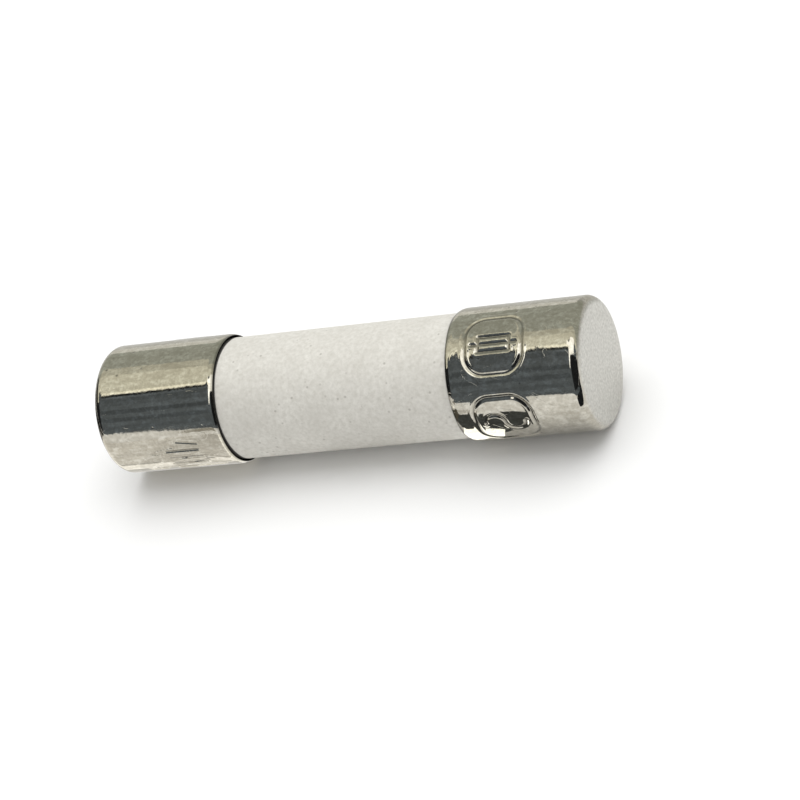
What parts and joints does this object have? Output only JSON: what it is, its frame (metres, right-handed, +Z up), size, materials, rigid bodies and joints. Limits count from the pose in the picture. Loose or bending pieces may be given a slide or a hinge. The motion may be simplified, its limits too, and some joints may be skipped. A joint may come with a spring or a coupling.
{
  "type": "cartridge fuse",
  "caption": "Small round cartridge fuse: white ceramic tube filled with sand, a plated metal cap on each end and a wound wire element inside.",
  "frame": {"origin": "middle of the fuse, on its axis, halfway between the two end faces", "axes": "+X along the fuse's axis towards the right-hand cap; +Z up with the fuse lying on its side; -Y is the front"},
  "size_m": [0.0206, 0.0052, 0.0052],
  "materials": {
    "nickel": "polished",
    "ceramic": "matte",
    "solder": "satin",
    "fibre": "matte",
    "sand": "matte",
    "wire": "satin",
    "yarn": "matte"
  },
  "bodies": {
    "root": {"ceramic_tube": "ceramic", "left_end_cap": "nickel", "right_end_cap": "nickel", "left_sealing_disc": "fibre", "right_sealing_disc": "fibre", "left_solder_joint": "solder", "right_solder_joint": "solder", "quartz_sand_filler": "sand", "fuse_wire_winding": "wire", "core_yarn_ply_1": "yarn", "core_yarn_ply_2": "yarn", "core_yarn_ply_3": "yarn"}
  },
  "joints": []
}
